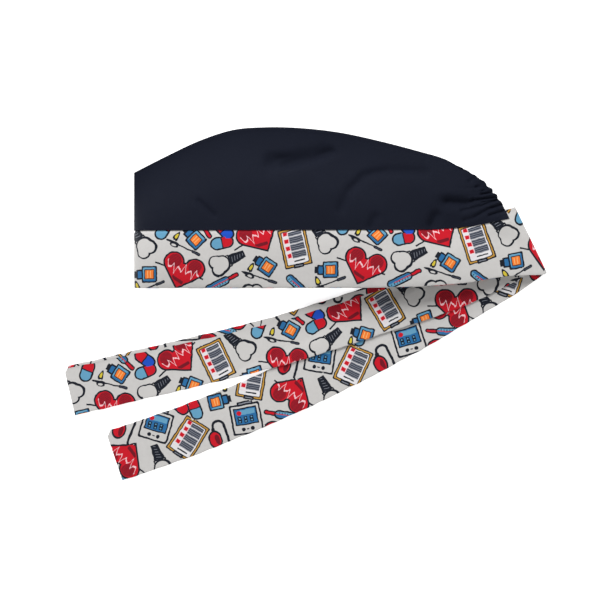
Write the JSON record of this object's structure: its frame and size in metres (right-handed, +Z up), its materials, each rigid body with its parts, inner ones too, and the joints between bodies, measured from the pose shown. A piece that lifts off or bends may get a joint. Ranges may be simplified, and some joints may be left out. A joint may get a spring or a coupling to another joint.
{
  "type": "surgical scrub cap",
  "caption": "Tie-back surgical scrub cap lying on its side: soft dark crown gathered at the nape, printed band with its ends turned under, and long flat ties.",
  "frame": {"origin": "middle of the outline of cap and ties on the surface that they lie on", "axes": "+Z up from the surface, +X from the centre front towards the nape, +Y from the rim towards the top seam"},
  "size_m": [0.3666, 0.2676, 0.0244],
  "materials": {
    "crown_cloth": "plain woven dark navy cotton, matt with a faint sheen",
    "print_cloth": null
  },
  "bodies": {
    "root": {"crown": "crown_cloth", "band": "print_cloth", "tie_left": "print_cloth", "tie_right": "print_cloth"}
  },
  "joints": []
}
